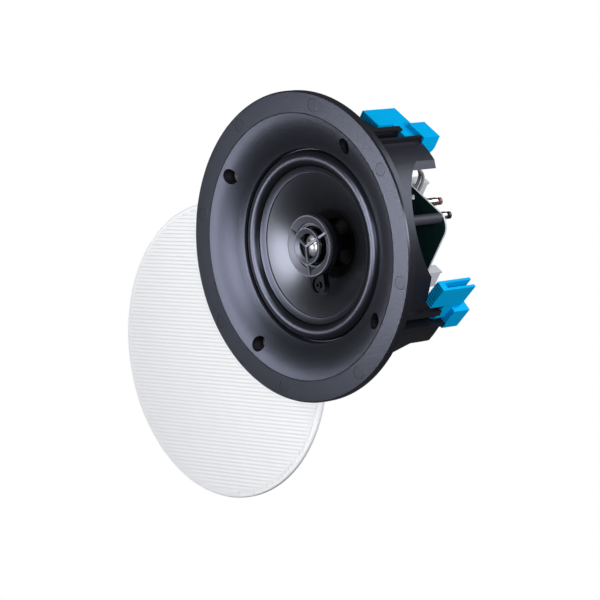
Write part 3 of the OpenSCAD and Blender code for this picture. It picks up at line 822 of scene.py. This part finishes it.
@dataclass
class Woofer:
    """Basket, cone and motor.

    Attributes:
        outer: Radius of the surround's outer bond, in millimetres.
        inner: Radius of its inner edge.
        lip: Width of the outer bonding lip.
        glue: Width of the inner bonding lip.
        seat: Height of the surround's back.
        rise: Height of its roll.
        sheet: Thickness of the rubber.
        bond: Thickness of the glue under the inner lip.
        bead: Corners of its rolled bead, across and up from the lip's front edge.
        roll_foot: How far in and forward the roll meets the inner lip.
        cone_lead: How far the cone's edge stands in front of the seat.
        cone_rise: Slope and curve of the cone.
        neck: Radius of the cone's neck.
        painted: Radius of the painted shade on the neck.
        coat: Thickness of the painted-shade ring.
        feather: Width over which it thins out.
        buried: How far its back lies behind the cone's front.
    """

    outer: float = 72.4
    inner: float = 60.3
    lip: float = 4.0
    glue: float = 5.4
    seat: float = 11.5
    rise: float = 6.2
    sheet: float = 0.8
    bond: float = 0.1
    bead: tuple[tuple[float, float], ...] = ((-0.05, 0.35), (0.25, 0.0), (0.7, -0.05))
    roll_foot: tuple[float, float] = (0.5, 0.25)
    cone_lead: float = 0.6
    cone_rise: tuple[float, float] = (0.33, 0.0065)
    neck: float = 19.7
    painted: float = 26.4
    coat: float = 0.4
    feather: float = 0.5
    buried: float = 0.15

    def cone_z(self, radius: float) -> float:
        """Height of the cone's front at a radius, in millimetres."""
        reach = self.inner - radius
        slope, curve = self.cone_rise
        return self.seat - self.cone_lead + slope * reach + curve * reach * reach

    def surround_profile(self) -> Profile:
        """Outline of the rubber roll.

        Returns:
            Closed outline with a rolled bead at the inner lip and a fine step where the roll
            meets the outer one.
        """
        crest = (self.outer + self.inner) / 2
        roll = (self.outer - self.inner) / 2
        steps = 32
        turns = [math.pi * i / steps for i in range(steps + 1)]
        lip_end = self.inner - self.glue
        front = self.cone_z(lip_end) - self.bond - self.sheet
        edge = self.cone_z(self.inner)
        outline = [
            (self.outer + self.lip, self.seat),
            (self.outer + self.lip, self.seat + self.sheet),
            (self.outer, self.seat + self.sheet),
        ]
        back_roll, back_rise = roll - self.sheet, self.rise - self.sheet
        outline += [
            (crest + back_roll * math.cos(a), self.seat - back_rise * math.sin(a)) for a in turns
        ]
        outline += [
            (self.inner - self.bond, edge - self.bond),
            (lip_end, self.cone_z(lip_end) - self.bond),
        ]
        outline += [(lip_end + across, front + up) for across, up in self.bead]
        outline += [(self.inner - self.roll_foot[0], edge - self.roll_foot[1] - self.sheet)]
        outline += [
            (crest + roll * math.cos(a), self.seat - self.rise * math.sin(a))
            for a in reversed(turns[1:-1])
        ]
        outline += [(self.outer, self.seat)]
        return outline

    def neck_shade_profile(self) -> Profile:
        """Outline of the painted shade on the cone's neck.

        Returns:
            Closed outline that lies on the cone's front, thinned out at its edge.
        """
        steps, least = 12, 0.05
        radii = [self.neck + (self.painted - self.neck) * i / steps for i in range(steps + 1)]
        shares = [min(1.0, (self.painted - r) / self.feather + least) for r in radii]
        front = [(r, self.cone_z(r) - self.coat * share) for r, share in zip(radii, shares)]
        return front + [(r, self.cone_z(r) + self.buried) for r in reversed(radii)]

    def build(self) -> None:
        """Builds the surround and the painted shade on the neck, and dresses the rest."""
        # Painted shade: near-black ring over the cone's neck behind the tweeter
        paint = turned("neck_paint", self.neck_shade_profile(), NECK_PAINTED_SHADE)
        settle(paint, "woofer_coil", "coated_pulp")
        rubber = turned("surround_rubber", self.surround_profile(), BUTYL, FINE_STEPS)
        settle(rubber, "root", "butyl_rubber", "surround")
        dress(FOAM, "woofer_gasket")
        dress(BASKET_NYLON, "woofer_basket")
        dress(PHENOLIC, "woofer_terminal")
        dress(ZINC_SCREW, "basket_screws")
        settle(swept("cone", PULP), "woofer_coil", "coated_pulp", "cone")
        # Painted shade: the coil's foil is near black so that the neck's hollow stays dark
        dress(FOIL_PAINTED_SHADE, "voice_coil_former")
        dress(COPPER, "voice_coil_winding")
        dress(COTTON, "spider")
        # Black-coated plates, near black also as painted shade inside the neck's hollow
        dress(BLACK_STEEL_PAINTED_SHADE, "top_plate", "yoke")
        dress(FERRITE, "magnet")


@dataclass
class Tweeter:
    """Dome, face and housing in front of the cone."""

    def build(self) -> None:
        """Dresses the tweeter."""
        dress(SATIN_ABS, "tweeter_face")
        dress(MOULDED_BLACK, "tweeter_post", "tweeter_cup")
        dress(GLOSS_BLACK, "tweeter_lug")
        # The same black-coated steel, whose near black is partly painted shade
        dress(BLACK_STEEL_PAINTED_SHADE, "tweeter_yoke", "tweeter_top_plate")
        dress(NEODYMIUM, "tweeter_magnet")
        dress(TITANIUM, "tweeter_dome")
        dress(MOULDED_BLACK, "tweeter_suspension")


@dataclass
class Crossover:
    """Board behind the motor, with its coils, cans, resistors and posts."""

    def build(self) -> None:
        """Dresses the board and its parts."""
        dress(BOARD, "crossover_board")
        dress(ZINC_SCREW, "board_screws")
        dress(WHITE_NYLON, "inductor_bobbin")
        dress(COPPER, "inductor_winding", "core_inductor")
        dress(SLEEVE, "large_capacitor", "small_capacitor")
        dress(CEMENT, "resistors")
        dress(NICKEL, "terminal_posts")
        dress(RED_CAP, "red_plunger")
        dress(BLACK_CAP, "black_plunger")
        dress(GREY_PVC, "woofer_leads", "tweeter_leads")


@dataclass
class Clamps:
    """Four swing-out clamps on their screws.

    Attributes:
        rounding: Width of the rounding on a clamp's edges, in millimetres.
    """

    rounding: float = 0.5

    def build(self) -> None:
        """Rounds each clamp and dresses its screw."""
        for k in range(1, 5):
            clamp = softened(f"clamp_{k}", BLUE_NYLON, self.rounding)
            settle(clamp, f"arm_{k}", "blue_nylon", f"clamp_{k}")
            dress(ZINC_STEEL, f"clamp_screw_{k}")


@dataclass
class Grille:
    """Perforated steel disc with a folded rim.

    Attributes:
        centre: Place of the disc's middle, in millimetres.
        radius: Outside radius.
        fold: Radius of the fold.
        rim: Depth of the rim.
        sheet: Thickness of the steel.
        row: Spacing of the rows of holes, coarser than real ones so that the rows show.
        step: Spacing of the holes along a row.
        hole: Radius of a hole.
        margin: Width of the plain edge.
        overlap: How far the field of holes runs over the plain edge.
        lap: How far the plain edge runs under the field of holes.
        edges: Steps at the rim's thin inner edge, its outer corner and its inner corner.
        slant: Turn of the rows about the disc's axis, in degrees.
    """

    centre: Point = (61.7, 216.4, 90.0)
    radius: float = 123.0
    fold: float = 1.6
    rim: float = 3.0
    sheet: float = 0.8
    row: float = 3.2
    step: float = 2.8
    hole: float = 0.6
    margin: float = 4.5
    overlap: float = 0.7
    lap: float = 0.4
    edges: tuple[float, float, float] = (0.05, 0.15, 0.1)
    slant: float = 10.0

    def tile(self) -> Piece:
        """One brick of sheet with a hole in it.

        Returns:
            A temporary object that the tree repeats.
        """
        x, y = self.row / 2, self.step / 2
        outer = [(-x, -y), (x, -y), (x, 0), (x, y), (-x, y), (-x, 0)]
        angles = [math.atan2(along, across) for across, along in outer]
        inner = [(self.hole * math.cos(a), self.hole * math.sin(a)) for a in angles]
        mesh = bpy.data.meshes.new("grille_tile")
        points = [(across * MM, along * MM, 0) for across, along in outer + inner]
        count = len(outer)
        after = [(i + 1) % count for i in range(count)]
        mesh.from_pydata(points, [], [(i + count, j + count, j, i) for i, j in enumerate(after)])
        piece = bpy.data.objects.new("grille_tile", mesh)
        bpy.context.scene.collection.objects.link(piece)
        return piece

    def tree(self) -> bpy.types.GeometryNodeTree:
        """Builds the tree that lays tiles in staggered rows inside a circle.

        Returns:
            The tree, with its sizes as named inputs.
        """
        tree = bpy.data.node_groups.new("perforation", "GeometryNodeTree")
        tree.interface.new_socket("Geometry", in_out="OUTPUT", socket_type="NodeSocketGeometry")
        for name, kind in (
            ("Tile", "NodeSocketObject"),
            ("Radius", "NodeSocketFloat"),
            ("Row spacing", "NodeSocketFloat"),
            ("Hole spacing", "NodeSocketFloat"),
            ("Rows", "NodeSocketInt"),
            ("Holes in a row", "NodeSocketInt"),
            ("Finish", "NodeSocketMaterial"),
        ):
            tree.interface.new_socket(name, in_out="INPUT", socket_type=kind)
        given = add_node(tree, "NodeGroupInput").outputs
        long_x = maths(
            tree, "MULTIPLY", given["Row spacing"], maths(tree, "SUBTRACT", given["Rows"], 1.0)
        )
        long_y = maths(
            tree,
            "MULTIPLY",
            given["Hole spacing"],
            maths(tree, "SUBTRACT", given["Holes in a row"], 1.0),
        )
        layout = {
            "Size X": long_x,
            "Size Y": long_y,
            "Vertices X": given["Rows"],
            "Vertices Y": given["Holes in a row"],
        }
        grid = add_node(tree, "GeometryNodeMeshGrid", {}, layout)
        index = add_node(tree, "GeometryNodeInputIndex").outputs[0]
        row = maths(tree, "FLOOR", maths(tree, "DIVIDE", index, given["Holes in a row"]))
        odd = maths(tree, "MODULO", row, 2.0)
        half = maths(tree, "MULTIPLY", given["Hole spacing"], 0.5)
        slide = maths(tree, "MULTIPLY", odd, half)
        offset = add_node(tree, "ShaderNodeCombineXYZ", {}, {"Y": slide})
        inputs = {"Geometry": grid.outputs["Mesh"], "Offset": offset.outputs[0]}
        staggered = add_node(tree, "GeometryNodeSetPosition", {}, inputs)
        away = length_of(tree, add_node(tree, "GeometryNodeInputPosition").outputs[0])
        further = {"data_type": "FLOAT", "operation": "GREATER_THAN"}
        outside = add_node(tree, "FunctionNodeCompare", further, {0: away, 1: given["Radius"]})
        inputs = {"Geometry": staggered.outputs[0], "Selection": outside.outputs[0]}
        disc = add_node(tree, "GeometryNodeDeleteGeometry", {"domain": "POINT"}, inputs)
        tile = add_node(
            tree,
            "GeometryNodeObjectInfo",
            {"transform_space": "ORIGINAL"},
            {"Object": given["Tile"]},
        )
        laid = add_node(
            tree,
            "GeometryNodeInstanceOnPoints",
            {},
            {"Points": disc.outputs[0], "Instance": tile.outputs["Geometry"]},
        )
        real = add_node(tree, "GeometryNodeRealizeInstances", {}, {"Geometry": laid.outputs[0]})
        joined = add_node(
            tree,
            "GeometryNodeMergeByDistance",
            {},
            {"Geometry": real.outputs[0], "Distance": MERGE_TILES},
        )
        dressed = add_node(
            tree,
            "GeometryNodeSetMaterial",
            {},
            {"Geometry": joined.outputs[0], "Material": given["Finish"]},
        )
        add_node(tree, "NodeGroupOutput", {}, {0: dressed.outputs[0]})
        return tree

    def perforated_sheet(self) -> Piece:
        """Lays the tiles, thickens them and puts them in place.

        Returns:
            The perforated sheet.
        """
        tile = self.tile()
        holder = bpy.data.objects.new("grille_sheet", bpy.data.meshes.new("grille_sheet"))
        bpy.context.scene.collection.objects.link(holder)
        tree = self.tree()
        modifier = holder.modifiers.new("perforation", "NODES")
        modifier.node_group = tree
        field_radius = self.radius - self.margin + self.overlap
        values = {
            "Tile": tile,
            "Radius": field_radius * MM,
            "Row spacing": self.row * MM,
            "Hole spacing": self.step * MM,
            "Rows": 2 * int(field_radius / self.row) + 3,
            "Holes in a row": 2 * int(field_radius / self.step) + 4,
            "Finish": ENAMEL.material(),
        }
        for item in tree.interface.items_tree:
            if item.in_out == "INPUT":
                modifier[item.identifier] = values[item.name]
        thick = holder.modifiers.new("sheet", "SOLIDIFY")
        thick.thickness = self.sheet * MM
        thick.offset = 1.0
        baked(holder)
        bpy.data.objects.remove(tile)
        bm = bmesh.new()
        bm.from_mesh(holder.data)
        slant = Matrix.Rotation(math.radians(self.slant), 3, "Z")
        bmesh.ops.rotate(bm, verts=bm.verts, cent=(0.0, 0.0, 0.0), matrix=slant)
        bmesh.ops.translate(bm, verts=bm.verts, vec=Vector(self.centre) * MM)
        bm.to_mesh(holder.data)
        bm.free()
        return holder

    def build(self) -> None:
        """Builds the sheet and its rim."""
        sheet = self.perforated_sheet()
        settle(self.rim_ring(), "root", "white_enamel", "grille")
        settle(sheet, "root", "white_enamel", "grille")

    def rim_ring(self) -> Piece:
        """Turns the plain edge and the folded rim.

        Returns:
            The ring that the perforated sheet sits in.
        """
        thin, outer, inner = self.edges
        inside = self.radius - self.margin - self.lap
        fold_at = self.radius - self.fold
        steps = 6
        bend = [math.pi / 2 * i / steps for i in range(steps + 1)]
        outline = [(inside, thin), (fold_at, 0.0)]
        outline += [
            (fold_at + self.fold * math.sin(a), self.fold - self.fold * math.cos(a))
            for a in bend[1:]
        ]
        outline += [
            (self.radius, self.rim - outer),
            (self.radius - outer, self.rim),
            (self.radius - self.sheet + inner, self.rim),
            (self.radius - self.sheet, self.rim - inner),
        ]
        hollow = self.fold - self.sheet
        outline += [
            (fold_at + hollow * math.sin(a), self.fold - hollow * math.cos(a))
            for a in reversed(bend)
        ]
        outline += [(inside, self.sheet - thin)]
        return turned("grille_rim", outline, ENAMEL, FINE_STEPS, self.centre)


@dataclass(frozen=True)
class Softbox:
    """Rectangular soft lamp that the camera doesn't see.

    Attributes:
        name: Name of the lamp.
        place: Place of its middle, in metres.
        target: Point that it faces.
        size: Its two sides.
        power: Its power, in watts.
    """

    name: str
    place: Point
    target: Point
    size: tuple[float, float]
    power: float

    def build(self) -> None:
        """Hangs the lamp."""
        lamp = bpy.data.lights.new(self.name, "AREA")
        lamp.shape = "RECTANGLE"
        lamp.size, lamp.size_y = self.size
        lamp.energy = self.power
        holder = bpy.data.objects.new(self.name, lamp)
        bpy.context.scene.collection.objects.link(holder)
        holder.location = self.place
        facing = Vector(self.target) - Vector(self.place)
        holder.rotation_euler = facing.to_track_quat("-Z", "Y").to_euler()
        holder.visible_camera = False


@dataclass
class Studio:
    """Camera, floor, lamps and surroundings.

    Attributes:
        eye: Place of the camera, in metres.
        axes: Its right, up and back directions.
        lens: Focal length, in millimetres.
        floor_z: Height of the floor, below the camera.
        sensor: Width of the camera's sensor, in millimetres.
        clip: Nearest and furthest distance that the camera sees.
        floor_reach: Half of the floor's side.
        floor_colour: Colour of the floor's paper, sRGB hex.
        floor_roughness: Roughness of the paper.
        glossy_share: Brightness of the surroundings in reflections, where the camera sees 1.
        light_share: Brightness of the surroundings as a light.
        lamps: The soft lamps.
    """

    eye: Point = (0.1131, -1.5696, -1.4527)
    axes: tuple[Point, Point, Point] = (
        (0.16885, -0.66190, 0.73033),
        (-0.98503, -0.13935, 0.10144),
        (0.03463, -0.73653, -0.67552),
    )
    lens: float = 171.1
    sensor: float = 36.0
    clip: tuple[float, float] = (0.05, 50.0)
    floor_z: float = -2.6
    floor_reach: float = 6.0
    floor_colour: str = "#e9e9e9"
    floor_roughness: float = 0.9
    glossy_share: float = 0.07
    light_share: float = 0.03
    lamps: list[Softbox] = field(
        default_factory=lambda: [
            Softbox("cone_softbox", (-0.08, -0.08, -0.68), (0.0, -0.08, 0.0), (0.3, 0.52), 5.9),
            Softbox("flange_softbox", (-0.03, 0.25, -0.42), (0.0, 0.0, 0.0), (0.2, 0.22), 1.4),
            Softbox("top_softbox", (-1.2, -0.7, 0.0), (0.0, 0.0, 0.05), (0.9, 0.9), 1.5),
            Softbox("side_softbox", (0.1, -1.6, 0.05), (0.0, 0.0, 0.05), (0.9, 0.9), 21.0),
            Softbox("front_fill", (0.0, -1.25, -1.3), (0.0, 0.0, 0.05), (0.5, 0.5), 4.5),
            Softbox("back_fill", (-0.5, -1.0, 0.95), (0.0, 0.0, 0.05), (1.0, 1.0), 11.0),
        ]
    )

    def build(self) -> None:
        """Sets the camera, floor, lamps and world."""
        scene = bpy.context.scene
        camera = bpy.data.objects.new("camera", bpy.data.cameras.new("camera"))
        scene.collection.objects.link(camera)
        camera.data.lens = self.lens
        camera.data.sensor_width = self.sensor
        camera.data.clip_start, camera.data.clip_end = self.clip
        turn = Matrix(self.axes).transposed()
        camera.matrix_world = Matrix.Translation(self.eye) @ turn.to_4x4()
        scene.camera = camera
        for lamp in self.lamps:
            lamp.build()
        self.floor()
        self.world()
        scene.view_settings.view_transform = "Standard"

    def floor(self) -> None:
        """Lays a plain pale floor that keeps the shadow."""
        mesh = bpy.data.meshes.new("floor")
        signs = ((-1, -1), (1, -1), (1, 1), (-1, 1))
        corners = [(x * self.floor_reach, y * self.floor_reach, self.floor_z) for x, y in signs]
        mesh.from_pydata(corners, [], [(0, 1, 2, 3)])
        piece = bpy.data.objects.new("floor", mesh)
        bpy.context.scene.collection.objects.link(piece)
        paper = bpy.data.materials.new("floor_paper")
        paper.use_nodes = True
        surface = paper.node_tree.nodes["Principled BSDF"].inputs
        surface["Base Color"].default_value = linear(self.floor_colour)
        surface["Roughness"].default_value = self.floor_roughness
        mesh.materials.append(paper)

    def world(self) -> None:
        """Makes the surroundings white to the camera, and dim in reflections and as a light."""
        world = bpy.data.worlds.new("studio")
        bpy.context.scene.world = world
        world.use_nodes = True
        tree = world.node_tree
        tree.nodes.clear()
        seen = add_node(tree, "ShaderNodeLightPath").outputs
        mirrored = maths(tree, "MULTIPLY", seen["Is Glossy Ray"], self.glossy_share)
        shown = maths(tree, "MAXIMUM", seen["Is Camera Ray"], mirrored)
        levels = {"Value": shown, "To Min": self.light_share, "To Max": 1.0}
        strength = add_node(tree, "ShaderNodeMapRange", {}, levels).outputs["Result"]
        white = {"Color": (1.0, 1.0, 1.0, 1.0), "Strength": strength}
        glow = add_node(tree, "ShaderNodeBackground", {}, white)
        add_node(tree, "ShaderNodeOutputWorld", {}, {"Surface": glow.outputs[0]})


def main() -> None:
    """Builds the studio and every sub-assembly in order."""
    logging.basicConfig(level=logging.INFO, format="%(message)s")
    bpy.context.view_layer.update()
    assemblies = (Studio(), MouldedFrame(), Woofer(), Tweeter(), Crossover(), Clamps(), Grille())
    for assembly in assemblies:
        LOG.info("building %s", type(assembly).__name__)
        assembly.build()


if __name__ == "__main__":
    main()
